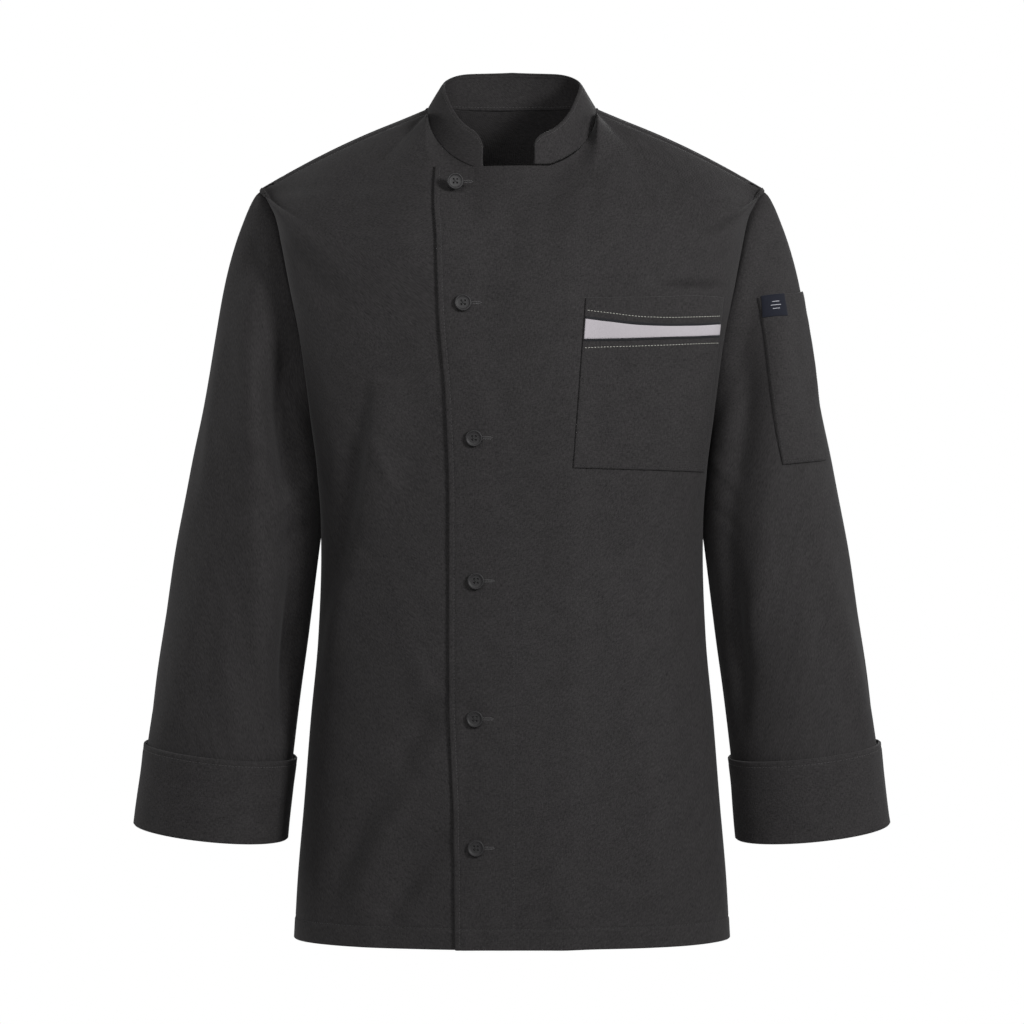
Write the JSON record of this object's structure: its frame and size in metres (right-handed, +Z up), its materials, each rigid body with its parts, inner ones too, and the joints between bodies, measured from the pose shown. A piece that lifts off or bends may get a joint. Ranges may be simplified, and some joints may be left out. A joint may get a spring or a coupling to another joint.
{
  "type": "chef jacket",
  "caption": "Long-sleeved chef jacket in worn form: stand collar, offset buttoned front, turned-back cuffs, chest pocket with pale insert, pen pocket on the sleeve.",
  "frame": {"origin": "midpoint between the two points where neck and shoulder meet, where the wearer's shoulders hold the jacket up", "axes": "+Z up the body, -Y out of the front, +X towards the wearer's left"},
  "size_m": [0.7146, 0.2467, 0.8189],
  "materials": {
    "cloth": "matte",
    "insert": "matte",
    "piping": "matte",
    "label": "satin",
    "thread": "satin",
    "button": "satin"
  },
  "bodies": {
    "root": {"front_left": "cloth", "front_right": "cloth", "back": "cloth", "sleeve_left": "cloth", "sleeve_right": "cloth", "cuff_left": "cloth", "cuff_right": "cloth", "collar": "cloth", "chest_pocket": "cloth", "pocket_insert": "insert", "piping_upper": "piping", "piping_lower": "piping", "sleeve_pocket": "cloth", "sleeve_label": "label", "button_1": "button", "button_2": "button", "button_3": "button", "button_4": "button", "button_5": "button", "button_6": "button"}
  },
  "joints": []
}
